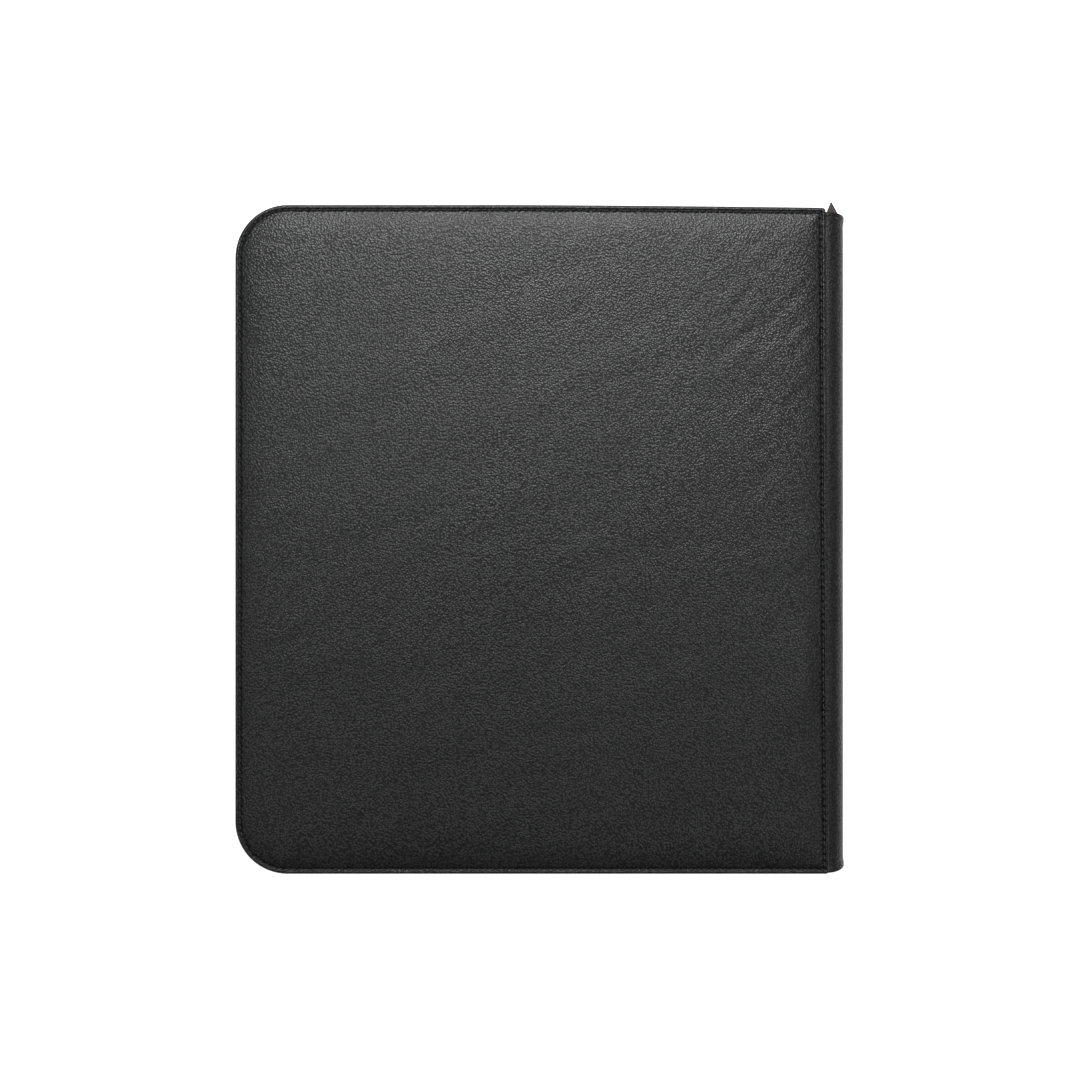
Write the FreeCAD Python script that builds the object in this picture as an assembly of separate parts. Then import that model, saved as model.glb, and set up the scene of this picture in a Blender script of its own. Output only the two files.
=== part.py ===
import FreeCAD, Part
import math
import os

# A zip-round trading card binder, lying shut on its front cover with the spine towards +X.
# Units are millimetres. The table is Z = 0, and +Y runs towards the binder's top edge.

V = FreeCAD.Vector

# ---- overall sizes ----
HEIGHT = 366.0  # covers, top edge to bottom edge
COVER_W = 324.5  # covers, fore edge to the edge beside the spine
CORNER_R = 28.5  # the two corners at the fore edge
FORE_X = -167.0  # fore edge of the covers
HINGE_X = FORE_X + COVER_W  # covers' edge beside the spine

# ---- cover layers, outside to inside ----
SKIN_T = 0.9  # leatherette
FOAM_T = 1.5  # padding under the leatherette
BOARD_T = 2.3  # stiffening board
LINING_T = 0.5  # lining fabric
RIM_DROP = 1.6  # how far the sewn rim lies below the padded face
RIM_W = 3.4  # width of the sewn rim
PAD_BEVEL = 1.4  # slope between the rim and the padded face
POCKET_INSET = 5.0  # outline of the padding and the board
COVER_T = SKIN_T + FOAM_T + BOARD_T + LINING_T
SEAM_Z = COVER_T - LINING_T  # inner face of the rim, where the zip tape is sewn on
LINING_CLEAR = 0.6  # lining stops short of the zip tape

# ---- stitching ----
STITCH_INSET = 2.4
STITCH_PITCH = 3.75
STITCH_LEN = 2.9
STITCH_W = 0.6
STITCH_H = 0.35
SPINE_STITCH_PITCH = 3.6
SPINE_STITCH_INSET = 2.6

# ---- spine and the two soft folds beside it ----
FOLD_R = 9.0  # mid-thickness radius of each fold
FOLD_DEPTH = 3.0  # from a cover's outer face to the middle of the fold material
FOLD_T = 1.6
SPINE_END_GAP = 3.0  # spine ends short of the covers' top and bottom edges
SPINE_HEM = 3.0  # turned-in hem at both ends of the spine, past its board
SPINE_BOARD_T = 1.8

# ---- zip ----
ZIP_INSET = 5.0  # middle of the tape wall, in from the covers' outline
TAPE_T = 0.8
TAPE_FLANGE_INSET = 1.0
TAPE_END = 3.5  # tape ends short of the covers' spine edge
COIL_W = 2.2
COIL_H = 1.3
COIL_GAP = 1.4  # between the two coil rails, where the slider's post runs
COIL_END = 6.5  # coil ends short of the covers' spine edge
STOP_LEN = 2.4
PARK_CLEAR = 2.6  # back coil's stop to the parked slider, so that the covers can part
RUN_CLEAR = 0.3  # clearance of the slider all round the coil
SLIDER_PARK = 17.5  # middle of the parked slider, in from the covers' spine edge
SLIDER_LEN = 11.0
SLIDER_NOSE_H = 10.4
SLIDER_TAIL_H = 8.0
SLIDER_PLATE_T = 1.0
POST_T = 0.8
POST_LEN = 3.0
BAIL_LEN = 7.0
BAIL_BAR = 0.9
BAIL_W = 1.2
PULL_BAR_R = 0.55
PULL_CLEAR = 0.35
PULL_T = 1.1
PULL_LEN = 32.0
PULL_W = 6.6
PULL_ARM_W = 0.9
PULL_EYE_LEN = 6.0
TAB_CLEAR = 1.5  # from the ends of the zip tapes to the folded tape end
END_TAB_H = 20.0
END_TAB_SLOPE = 3.0
END_TAB_ROOT = 12.0
TIP_T = 7.0
TIP_W = 6.0
TIP_REACH = 7.3  # the fold's point, past the spine's top end

# ---- pocket leaves ----
LEAF_COUNT = 20
LEAF_PITCH = 1.55
SHEET_T = 0.24
HOLLOW_T = 0.34
FILM_T = 0.14
LEAF_T = SHEET_T + 2 * (HOLLOW_T + FILM_T)
MARGIN_T = 0.5
LEAF_END_GAP = 21.0  # leaves end short of the covers' top and bottom edges
LEAF_FORE_GAP = 14.5  # leaves end short of the covers' fore edge
COLUMNS = 4
ROWS = 3
SLIT = 1.0  # gap beside each pocket's open side
ROW_GAP = 1.0
WELD = 1.6
FORE_MARGIN = 3.0  # plain edge of a leaf past its pockets
END_MARGIN = 16.5
ZONE_INSET = 21.0  # pockets start this far in from the covers' spine edge
STACK_CLEAR = 0.3  # between the stack of leaves and each cover
ROOT_CLEAR = 0.5
CORE_END_GAP = 4.0  # binding ends short of the leaves' top and bottom edges
CORE_BACK = 2.2  # how far the binding's outer corners step in, to clear the folds
CORE_LEAST = 0.9  # thickness of the binding behind the outermost leaves

# ---- derived positions ----
THICK = 2 * (COVER_T + STACK_CLEAR) + LEAF_COUNT * LEAF_PITCH  # shut binder, outside to outside
MID_Z = THICK / 2
SPINE_OUT_X = HINGE_X + FOLD_R + FOLD_T / 2
SPINE_IN_X = SPINE_OUT_X - SKIN_T - SPINE_BOARD_T - LINING_T
FOLD_END_Z = FOLD_DEPTH + FOLD_R
SPINE_HALF_H = HEIGHT / 2 - SPINE_END_GAP
ZIP_Y = HEIGHT / 2 - ZIP_INSET
LINING_INSET = ZIP_INSET + TAPE_T / 2 + LINING_CLEAR
COIL_TOP_Z = MID_Z - COIL_GAP / 2
TAPE_TOP_Z = COIL_TOP_Z - COIL_H
ZONE_X = HINGE_X - ZONE_INSET
SLIDER_X = HINGE_X - SLIDER_PARK
LEAF_FORE_X = FORE_X + LEAF_FORE_GAP
LEAF_H = HEIGHT - 2 * LEAF_END_GAP
POCKET_PITCH_X = (ZONE_X - LEAF_FORE_X - FORE_MARGIN) / COLUMNS
POCKET_PITCH_Y = (LEAF_H - 2 * END_MARGIN) / ROWS
CORE_H = LEAF_H - 2 * CORE_END_GAP
OUTER_ROOT_X = SPINE_IN_X - CORE_BACK - CORE_LEAST - ROOT_CLEAR


def box(x0, x1, y0, y1, z0, z1):
    return Part.makeBox(x1 - x0, y1 - y0, z1 - z0, V(x0, y0, z0))


def prism(points, direction):
    """Solid made by sweeping a closed polygon along a vector."""
    wire = Part.makePolygon(points + [points[0]])
    return Part.Face(wire).extrude(direction)


def slab(inset, z0, z1, x1=None):
    """The cover's outline, stepped in by inset, between two heights. x1 sets its spine side."""
    x0 = FORE_X + inset
    if x1 is None:
        x1 = HINGE_X - inset
    y = HEIGHT / 2 - inset
    r = CORNER_R - inset
    bend = r * math.sqrt(0.5)
    edges = [
        Part.makeLine(V(x0 + r, -y, z0), V(x1, -y, z0)),
        Part.makeLine(V(x1, -y, z0), V(x1, y, z0)),
        Part.makeLine(V(x1, y, z0), V(x0 + r, y, z0)),
        Part.Arc(
            V(x0 + r, y, z0), V(x0 + r - bend, y - r + bend, z0), V(x0, y - r, z0)
        ).toShape(),
        Part.makeLine(V(x0, y - r, z0), V(x0, r - y, z0)),
        Part.Arc(
            V(x0, r - y, z0), V(x0 + r - bend, r - y - bend, z0), V(x0 + r, -y, z0)
        ).toShape(),
    ]
    return Part.Face(Part.Wire(edges)).extrude(V(0, 0, z1 - z0))


def to_back(shape):
    """The same piece on the back cover: the binder is symmetrical about its middle height."""
    return shape.mirror(V(0, 0, MID_Z), V(0, 0, 1))


def cover_skin():
    """Leatherette tray: padded face, sloped shoulder, and the turned and sewn rim."""
    pad = slab(RIM_W, 0, SEAM_Z)
    face_edges = [e for e in pad.Edges if e.BoundBox.ZMax < 1e-6]
    pad = pad.makeChamfer(PAD_BEVEL, face_edges)
    rim = slab(0, RIM_DROP, SEAM_Z)
    return pad.fuse(rim).cut(slab(POCKET_INSET, SKIN_T, SEAM_Z + 1)).removeSplitter()


def stitch(x, y, z, turn):
    """One visible stitch, a short raised bar, turned about Z."""
    bar = Part.makeBox(
        STITCH_LEN, STITCH_W, STITCH_H, V(-STITCH_LEN / 2, -STITCH_W / 2, -STITCH_H)
    )
    bar.rotate(V(0, 0, 0), V(0, 0, 1), turn)
    bar.translate(V(x, y, z))
    return bar


def run_of_stitches(start, end, z):
    """Stitches evenly spaced along a straight row, clear of both of its ends."""
    length = math.hypot(end[0] - start[0], end[1] - start[1])
    count = round(length / STITCH_PITCH)
    turn = math.degrees(math.atan2(end[1] - start[1], end[0] - start[0]))
    row = []
    for i in range(count):
        t = (i + 0.5) / count
        x = start[0] + t * (end[0] - start[0])
        y = start[1] + t * (end[1] - start[1])
        row.append(stitch(x, y, z, turn))
    return row


def corner_of_stitches(cx, cy, r, first, z):
    """Stitches round a quarter circle, starting at an angle in degrees."""
    count = round(math.radians(90) * r / STITCH_PITCH)
    row = []
    for i in range(count):
        a = first + 90 * (i + 0.5) / count
        x = cx + r * math.cos(math.radians(a))
        y = cy + r * math.sin(math.radians(a))
        row.append(stitch(x, y, z, a + 90))
    return row


def cover_stitching():
    """The row of stitches round the cover, on the outside of the rim."""
    y = HEIGHT / 2 - STITCH_INSET
    x0 = FORE_X + STITCH_INSET
    x1 = HINGE_X - STITCH_INSET
    r = CORNER_R - STITCH_INSET
    side = STITCH_LEN  # keeps the spine-side row clear of the rows it meets
    stitches = run_of_stitches((x0 + r, y), (x1 - side, y), RIM_DROP)
    stitches += run_of_stitches((x0 + r, -y), (x1 - side, -y), RIM_DROP)
    stitches += run_of_stitches((x0, r - y), (x0, y - r), RIM_DROP)
    stitches += run_of_stitches((x1, -y), (x1, y), RIM_DROP)
    stitches += corner_of_stitches(x0 + r, y - r, r, 90, RIM_DROP)
    stitches += corner_of_stitches(x0 + r, r - y, r, 180, RIM_DROP)
    return Part.makeCompound(stitches)


def zip_tape():
    """Woven tape: a flange sewn under the rim, and a wall that stands up to the coil."""
    half = TAPE_T / 2
    end_x = HINGE_X - TAPE_END
    flange = slab(TAPE_FLANGE_INSET, SEAM_Z, COVER_T, end_x)
    wall = slab(ZIP_INSET - half, SEAM_Z, TAPE_TOP_Z, end_x)
    inside = slab(ZIP_INSET + half, SEAM_Z - 1, THICK, HINGE_X)
    return flange.fuse(wall).cut(inside).removeSplitter()


def zip_coil(top_end_x):
    """The coil as a plain rail along its tape. top_end_x is its end at the top edge."""
    half = COIL_W / 2
    rail = slab(ZIP_INSET - half, TAPE_TOP_Z, COIL_TOP_Z, HINGE_X - COIL_END)
    inside = slab(ZIP_INSET + half, 0, THICK, HINGE_X)
    beyond = box(top_end_x, HINGE_X, 0, HEIGHT / 2, 0, THICK)
    return rail.cut(inside).cut(beyond).removeSplitter()


def zip_stops(top_end_x):
    """A crimped stop on each end of the coil, at the top edge and at the bottom edge."""
    half = COIL_W / 2
    stops = []
    for y, x0 in ((ZIP_Y, top_end_x), (-ZIP_Y, HINGE_X - COIL_END)):
        stops.append(box(x0, x0 + STOP_LEN, y - half, y + half, TAPE_TOP_Z, COIL_TOP_Z))
    return Part.makeCompound(stops)


def slider_plate(y0, y1):
    """A plate of the slider: wide where the two tapes part, narrow where they leave joined."""
    x0 = SLIDER_X - SLIDER_LEN / 2
    x1 = SLIDER_X + SLIDER_LEN / 2
    nose = SLIDER_NOSE_H / 2
    tail = SLIDER_TAIL_H / 2
    cut = 1.5
    upper = [
        (x0, tail - cut),
        (x0 + cut, tail),
        (SLIDER_X, tail),
        (SLIDER_X + 2 * cut, nose),
        (x1 - cut, nose),
        (x1, nose - 2 * cut),
    ]
    outline = upper + [(x, -z) for x, z in reversed(upper)]
    points = [V(x, y0, MID_Z + z) for x, z in outline]
    return prism(points, V(0, y1 - y0, 0))


def slider_body():
    """Two plates joined by the post, each with a lip above and below the coils."""
    coil_side = COIL_W / 2 + RUN_CLEAR
    out_side = coil_side + SLIDER_PLATE_T
    x0 = SLIDER_X - SLIDER_LEN / 2
    x1 = SLIDER_X + SLIDER_LEN / 2
    lip_z0 = COIL_GAP / 2 + COIL_H + RUN_CLEAR
    lip_z1 = SLIDER_TAIL_H / 2
    lip_y = TAPE_T / 2 + RUN_CLEAR
    body = slider_plate(ZIP_Y + coil_side, ZIP_Y + out_side)
    body = body.fuse(slider_plate(ZIP_Y - out_side, ZIP_Y - coil_side))
    post_x1 = x1 - 1.0
    post_z = POST_T / 2
    body = body.fuse(
        box(post_x1 - POST_LEN, post_x1, ZIP_Y - coil_side, ZIP_Y + coil_side, MID_Z - post_z, MID_Z + post_z)
    )
    for side in (-1, 1):
        z0, z1 = sorted((side * lip_z0, side * lip_z1))
        for face in (-1, 1):
            y0, y1 = sorted((face * lip_y, face * coil_side))
            body = body.fuse(
                box(x0 + 1.5, x1 - 1.5, ZIP_Y + y0, ZIP_Y + y1, MID_Z + z0, MID_Z + z1)
            )
    return body.removeSplitter()


def slider_face_y():
    """Outer face of the slider's outer plate."""
    return ZIP_Y + COIL_W / 2 + RUN_CLEAR + SLIDER_PLATE_T


def pull_axis_y():
    return slider_face_y() + PULL_CLEAR + PULL_BAR_R


def slider_bail():
    """The low arch on the slider that holds the pull's bar."""
    y0 = slider_face_y()
    y1 = pull_axis_y() + PULL_BAR_R + PULL_CLEAR
    y2 = y1 + BAIL_BAR
    x0 = SLIDER_X - BAIL_LEN / 2
    x1 = SLIDER_X + BAIL_LEN / 2
    z0 = MID_Z - BAIL_W / 2
    points = [
        V(x0, y0, z0),
        V(x0, y1, z0),
        V(x0 + BAIL_BAR, y2, z0),
        V(x1 - BAIL_BAR, y2, z0),
        V(x1, y1, z0),
        V(x1, y0, z0),
        V(x1 - BAIL_BAR, y0, z0),
        V(x1 - BAIL_BAR, y1, z0),
        V(x0 + BAIL_BAR, y1, z0),
        V(x0 + BAIL_BAR, y0, z0),
    ]
    return prism(points, V(0, 0, BAIL_W))


def zip_pull():
    """Pull tab with an open eye whose round bar turns under the slider's arch."""
    y = pull_axis_y()
    y0 = y - PULL_T / 2
    y1 = y + PULL_T / 2
    half = PULL_W / 2
    neck = half - 0.5
    eye_x = SLIDER_X - PULL_EYE_LEN
    end_x = SLIDER_X - PULL_LEN
    eye_half = neck - PULL_ARM_W
    tab = box(end_x + half, eye_x, y0, y1, MID_Z - half, MID_Z + half)
    tip = Part.makeCylinder(half, PULL_T, V(end_x + half, y0, MID_Z), V(0, 1, 0))
    pull = tab.fuse(tip).removeSplitter()
    rims = [
        e
        for e in pull.Edges
        if e.BoundBox.YLength < 1e-6 and e.BoundBox.XMin < eye_x - 1
    ]
    pull = pull.makeFillet(0.3, rims)
    for side in (-1, 1):
        z0, z1 = sorted((side * eye_half, side * neck))
        pull = pull.fuse(box(eye_x, SLIDER_X, y0, y1, MID_Z + z0, MID_Z + z1))
    bar = Part.makeCylinder(PULL_BAR_R, 2 * neck, V(SLIDER_X, y, MID_Z - neck), V(0, 0, 1))
    grip_x = end_x + PULL_W
    slot = box(grip_x, grip_x + 11.0, y0 - 1, y1 + 1, MID_Z - 1.1, MID_Z + 1.1)
    return pull.fuse(bar).cut(slot).removeSplitter()


def fold_strip():
    """Quarter-round leatherette fold between the front cover and the spine."""
    r0 = FOLD_R - FOLD_T / 2
    r1 = FOLD_R + FOLD_T / 2
    z_c = FOLD_END_Z
    y = -SPINE_HALF_H
    bend = math.sqrt(0.5)
    outer = Part.Arc(
        V(HINGE_X, y, z_c - r1),
        V(HINGE_X + r1 * bend, y, z_c - r1 * bend),
        V(HINGE_X + r1, y, z_c),
    ).toShape()
    inner = Part.Arc(
        V(HINGE_X, y, z_c - r0),
        V(HINGE_X + r0 * bend, y, z_c - r0 * bend),
        V(HINGE_X + r0, y, z_c),
    ).toShape()
    end_a = Part.makeLine(V(HINGE_X + r1, y, z_c), V(HINGE_X + r0, y, z_c))
    end_b = Part.makeLine(V(HINGE_X, y, z_c - r0), V(HINGE_X, y, z_c - r1))
    wire = Part.Wire(Part.__sortEdges__([outer, end_a, inner, end_b]))
    return Part.Face(wire).extrude(V(0, 2 * SPINE_HALF_H, 0))


def spine_layer(x0, x1, half_h):
    """One layer of the spine, between the two folds."""
    return box(x0, x1, -half_h, half_h, FOLD_END_Z, THICK - FOLD_END_Z)


def spine_stitching():
    """Hem stitches across both ends of the spine."""
    z0 = FOLD_END_Z
    z1 = THICK - FOLD_END_Z
    count = round((z1 - z0) / SPINE_STITCH_PITCH)
    pitch = (z1 - z0) / count
    half = STITCH_LEN / 2
    stitches = []
    for end in (-1, 1):
        y = end * (SPINE_HALF_H - SPINE_STITCH_INSET)
        for i in range(count):
            z = z0 + (i + 0.5) * pitch
            stitches.append(
                box(SPINE_OUT_X, SPINE_OUT_X + STITCH_H, y - STITCH_W / 2, y + STITCH_W / 2, z - half, z + half)
            )
    return Part.makeCompound(stitches)


def end_tab():
    """The end of the zip tape, folded and sewn into one end of the spine."""
    x1 = SPINE_IN_X - RUN_CLEAR
    x0 = HINGE_X - TAPE_END + TAB_CLEAR
    y = SPINE_HALF_H - END_TAB_ROOT
    half = END_TAB_H / 2
    slope = END_TAB_SLOPE
    upper = [(x0, half - slope), (x0 + slope, half), (x1 - slope, half), (x1, half - slope)]
    outline = upper + [(x, -z) for x, z in reversed(upper)]
    points = [V(x, y, MID_Z + z) for x, z in outline]
    return prism(points, V(0, END_TAB_ROOT, 0))


def end_tip():
    """The folded point that stands out past the spine's top end."""
    x1 = SPINE_IN_X - RUN_CLEAR
    x0 = x1 - TIP_W
    y = SPINE_HALF_H
    z = MID_Z - TIP_T / 2
    points = [V(x0, y, z), V((x0 + x1) / 2, y + TIP_REACH, z), V(x1, y, z)]
    return prism(points, V(0, 0, TIP_T))


def leaf_z(k):
    """Mid height of leaf k, counted from 1 beside the front cover."""
    return MID_Z + (k - (LEAF_COUNT + 1) / 2) * LEAF_PITCH


def leaf_root_x(k):
    """The leaves' roots step in towards the middle of the book, so it opens to two flat stacks."""
    return OUTER_ROOT_X - LEAF_PITCH * min(k - 1, LEAF_COUNT - k)


def pocket(column, row, face):
    """A clear pocket welded on three sides and open towards the spine, for one face of a leaf."""
    x1 = ZONE_X - column * POCKET_PITCH_X - SLIT
    x0 = ZONE_X - (column + 1) * POCKET_PITCH_X
    y0 = (row - ROWS / 2) * POCKET_PITCH_Y + ROW_GAP / 2
    y1 = y0 + POCKET_PITCH_Y - ROW_GAP
    z0, z1 = sorted((face * SHEET_T / 2, face * LEAF_T / 2))
    h0, h1 = sorted((face * SHEET_T / 2, face * (SHEET_T / 2 + HOLLOW_T)))
    film = box(x0, x1, y0, y1, z0, z1)
    hollow = box(x0 + WELD, x1 + 1, y0 + WELD, y1 - WELD, h0, h1)
    return film.cut(hollow)


def pocket_sheet():
    """The part of a leaf that carries the pockets, at mid height 0."""
    half = SHEET_T / 2
    sheet = box(LEAF_FORE_X, ZONE_X, -LEAF_H / 2, LEAF_H / 2, -half, half)
    pockets = [
        pocket(column, row, face)
        for column in range(COLUMNS)
        for row in range(ROWS)
        for face in (-1, 1)
    ]
    return sheet.fuse(pockets)


def leaf(sheet, k):
    """A leaf: the pocket sheet and the binding margin that runs to its root."""
    half = MARGIN_T / 2
    margin = box(ZONE_X, leaf_root_x(k), -LEAF_H / 2, LEAF_H / 2, -half, half)
    shape = sheet.fuse(margin)
    shape.translate(V(0, 0, leaf_z(k)))
    return shape


def binding_core():
    """The stepped block behind the leaves' roots that ties them to the spine."""
    y = -CORE_H / 2
    back = SPINE_IN_X
    steps = []
    for k in range(1, LEAF_COUNT + 1):
        x = leaf_root_x(k) + ROOT_CLEAR
        steps.append(V(x, y, leaf_z(k) - LEAF_PITCH / 2))
        steps.append(V(x, y, leaf_z(k) + LEAF_PITCH / 2))
    z0 = leaf_z(1) - LEAF_PITCH / 2
    z1 = leaf_z(LEAF_COUNT) + LEAF_PITCH / 2
    points = steps + [
        V(back - CORE_BACK, y, z1),
        V(back, y, THICK - FOLD_END_Z),
        V(back, y, FOLD_END_Z),
        V(back - CORE_BACK, y, z0),
    ]
    return prism(points, V(0, CORE_H, 0))


nodes = {}

front = {
    "cover_skin": cover_skin(),
    "cover_foam": slab(POCKET_INSET, SKIN_T, SKIN_T + FOAM_T),
    "cover_board": slab(POCKET_INSET, SKIN_T + FOAM_T, SEAM_Z),
    "cover_lining": slab(LINING_INSET, SEAM_Z, COVER_T),
    "cover_stitching": cover_stitching(),
    "zip_tape": zip_tape(),
    "hinge_fold": fold_strip(),
}
for name, shape in front.items():
    nodes["front_" + name] = shape
    nodes["back_" + name] = to_back(shape)

front_end_x = HINGE_X - COIL_END
nodes["front_zip_coil"] = zip_coil(front_end_x)
nodes["front_zip_stops"] = zip_stops(front_end_x)
back_end_x = SLIDER_X - SLIDER_LEN / 2 - PARK_CLEAR - STOP_LEN
nodes["back_zip_coil"] = to_back(zip_coil(back_end_x))
nodes["back_zip_stops"] = to_back(zip_stops(back_end_x))

board_x1 = SPINE_OUT_X - SKIN_T
board_x0 = board_x1 - SPINE_BOARD_T
nodes["spine_skin"] = spine_layer(board_x1, SPINE_OUT_X, SPINE_HALF_H)
nodes["spine_board"] = spine_layer(board_x0, board_x1, SPINE_HALF_H - SPINE_HEM)
nodes["spine_lining"] = spine_layer(SPINE_IN_X, board_x0, SPINE_HALF_H - SPINE_HEM)
nodes["spine_stitching"] = spine_stitching()
nodes["page_binding_core"] = binding_core()

nodes["zip_end_tab_top"] = end_tab().fuse(end_tip())
nodes["zip_end_tab_bottom"] = end_tab().mirror(V(0, 0, 0), V(0, 1, 0))

nodes["zip_slider_body"] = slider_body()
nodes["zip_slider_bail"] = slider_bail()
nodes["zip_pull"] = zip_pull()

sheet = pocket_sheet()
for k in range(1, LEAF_COUNT + 1):
    nodes["leaf_%02d" % k] = leaf(sheet, k)

os.makedirs("parts", exist_ok=True)
for name, shape in nodes.items():
    shape.exportStep("parts/" + name + ".step")
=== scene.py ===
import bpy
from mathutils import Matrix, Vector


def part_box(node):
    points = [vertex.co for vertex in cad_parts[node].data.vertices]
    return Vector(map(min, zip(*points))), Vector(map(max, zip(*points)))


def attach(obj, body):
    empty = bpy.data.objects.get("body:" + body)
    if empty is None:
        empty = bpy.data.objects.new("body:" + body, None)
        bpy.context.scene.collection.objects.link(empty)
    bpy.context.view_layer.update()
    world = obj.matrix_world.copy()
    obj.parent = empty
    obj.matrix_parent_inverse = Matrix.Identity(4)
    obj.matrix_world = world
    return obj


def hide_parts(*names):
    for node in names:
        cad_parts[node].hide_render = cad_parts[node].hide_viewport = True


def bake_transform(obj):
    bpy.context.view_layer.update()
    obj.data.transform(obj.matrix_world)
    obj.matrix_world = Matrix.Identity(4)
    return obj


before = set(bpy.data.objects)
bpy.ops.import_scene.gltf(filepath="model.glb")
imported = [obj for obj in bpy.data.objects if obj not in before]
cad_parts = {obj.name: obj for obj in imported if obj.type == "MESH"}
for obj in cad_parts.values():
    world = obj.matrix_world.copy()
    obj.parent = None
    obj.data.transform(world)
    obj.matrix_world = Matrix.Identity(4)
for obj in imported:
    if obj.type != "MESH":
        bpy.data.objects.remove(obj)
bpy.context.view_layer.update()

import math

import bmesh
import bpy
from mathutils import Matrix, Vector, noise

# A zip-round trading card binder, shut, lying on its front cover with its spine towards +X.
# Sizes are millimetres until a mesh is finished, then metres.
MM = 0.001


def millimetres(node):
    """Lowest and highest corner of a CAD node."""
    low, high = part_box(node)
    return low / MM, high / MM


# ---- sizes read from the frame ----
SKIN_LOW, SKIN_HIGH = millimetres("back_cover_skin")
TAPE_HIGH = millimetres("back_zip_tape")[1]
COIL_HIGH = millimetres("back_zip_coil")[1]
LINING_LOW, LINING_HIGH = millimetres("back_cover_lining")
FOLD_LOW, FOLD_HIGH = millimetres("back_hinge_fold")
FORE_X, EDGE_X = SKIN_LOW.x, SKIN_HIGH.x
HALF_H = SKIN_HIGH.y
THICK = SKIN_HIGH.z
SEAM_Z = SKIN_LOW.z
MID_Z = THICK / 2
FOLD_R = FOLD_HIGH.x - EDGE_X
FOLD_Z = FOLD_LOW.z

# ---- sizes of the soft work ----
FORE_R = 28.5  # corners at the fore edge
EDGE_R = 1.6  # corners beside the spine
STITCH_INSET = 2.4
STITCH_PITCH = 3.75
ZIP_INSET = 5.0
TOOTH_PITCH = 1.5
PATH_STEP = 0.25  # between the points of a path round the rim
LEATHER = 1.1  # thickness of the folds' and the spine's leatherette
FOLD_FACES = 16  # round a quarter turn of a fold
TUCKED_FACES = 4  # of a fold, in below the cover's lip
HEM_INSET = 2.7  # of the hem stitches, from the spine's ends
SHARP_ANGLE = math.radians(55)
QUARTER = math.radians(90)


# ==== node and mesh helpers ====


def srgb(code):
    """Linear colour of an sRGB hex value."""
    parts = [int(code[i : i + 2], 16) / 255 for i in (0, 2, 4)]
    return [p / 12.92 if p <= 0.04045 else ((p + 0.055) / 1.055) ** 2.4 for p in parts] + [1.0]


def add(tree, kind, settings=None, inputs=None):
    """Adds a shader node; an input's value may be another node's output."""
    made = tree.nodes.new(kind)
    for name, value in (settings or {}).items():
        setattr(made, name, value)
    for name, value in (inputs or {}).items():
        if isinstance(value, bpy.types.NodeSocket):
            tree.links.new(value, made.inputs[name])
        else:
            made.inputs[name].default_value = value
    return made


def ramp(tree, factor, stops):
    """A colour ramp through (position, colour) stops."""
    made = add(tree, "ShaderNodeValToRGB", inputs={"Fac": factor})
    band = made.color_ramp
    while len(band.elements) < len(stops):
        band.elements.new(0.5)
    for element, (position, colour) in zip(band.elements, stops):
        element.position = position
        element.color = colour
    return made.outputs["Color"]


def grey(level):
    return [level, level, level, 1.0]


def maths(tree, operation, *values):
    made = add(tree, "ShaderNodeMath", {"operation": operation}, dict(enumerate(values)))
    return made.outputs[0]


def grained(tree, place, scale, detail, roughness=0.5, output="Fac"):
    """Noise with so many features to a metre."""
    inputs = {"Vector": place, "Scale": scale, "Detail": detail, "Roughness": roughness}
    return add(tree, "ShaderNodeTexNoise", inputs=inputs).outputs[output]


def coloured(tree, shader, factor, *stops):
    """Base colour through (position, sRGB hex value) stops."""
    base = ramp(tree, factor, [(position, srgb(code)) for position, code in stops])
    tree.links.new(base, shader.inputs["Base Color"])
    return base


def glossed(tree, shader, factor, *stops):
    """Roughness through (position, roughness) stops."""
    rough = ramp(tree, factor, [(position, grey(level)) for position, level in stops])
    tree.links.new(rough, shader.inputs["Roughness"])


def relief(tree, shader, height, strength, depth):
    """Bumps from a height; their depth is in metres."""
    inputs = {"Height": height, "Strength": strength, "Distance": depth}
    bump = add(tree, "ShaderNodeBump", inputs=inputs)
    tree.links.new(bump.outputs[0], shader.inputs["Normal"])


def blank_material(name):
    """A new material: its tree, its shader and its Object coordinates in metres."""
    material = bpy.data.materials.new(name)
    material.use_nodes = True
    tree = material.node_tree
    shader = tree.nodes["Principled BSDF"]
    place = add(tree, "ShaderNodeTexCoord").outputs["Object"]
    return material, tree, shader, place


def mesh_object(name, bm, body, material, smooth=True):
    """Finishes a bmesh built in millimetres as an object in metres, riding on a body if one
    is named."""
    bm.transform(Matrix.Scale(MM, 4))
    mesh = bpy.data.meshes.new(name)
    bm.to_mesh(mesh)
    bm.free()
    made = bpy.data.objects.new(name, mesh)
    bpy.context.scene.collection.objects.link(made)
    mesh.materials.append(material)
    if smooth:
        mesh.shade_smooth()
        mesh.set_sharp_from_angle(angle=SHARP_ANGLE)
    if body:
        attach(made, body)
    return made


def mapped_grid(across, along, place):
    """A grid whose vertex (i, j) is put at place(i, j)."""
    bm = bmesh.new()
    bmesh.ops.create_grid(bm, x_segments=across, y_segments=along, size=1.0)
    for vert in bm.verts:
        i = round((vert.co.x + 1) / 2 * across)
        j = round((vert.co.y + 1) / 2 * along)
        vert.co = place(i, j)
    return bm


def outward(bm):
    bmesh.ops.recalc_face_normals(bm, faces=bm.faces)
    return bm


def round_off(bm, edges, radius, segments):
    bmesh.ops.bevel(
        bm,
        geom=edges,
        offset=radius,
        segments=segments,
        profile=0.5,
        affect="EDGES",
        material=-1,
    )


def for_side(bm, side):
    """A piece built for the back cover, mirrored if it is the front cover's."""
    if side == "front":
        flip = Matrix.Translation((0, 0, THICK)) @ Matrix.Scale(-1, 4, (0, 0, 1))
        bmesh.ops.transform(bm, matrix=flip, verts=bm.verts)
    return outward(bm)


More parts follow.
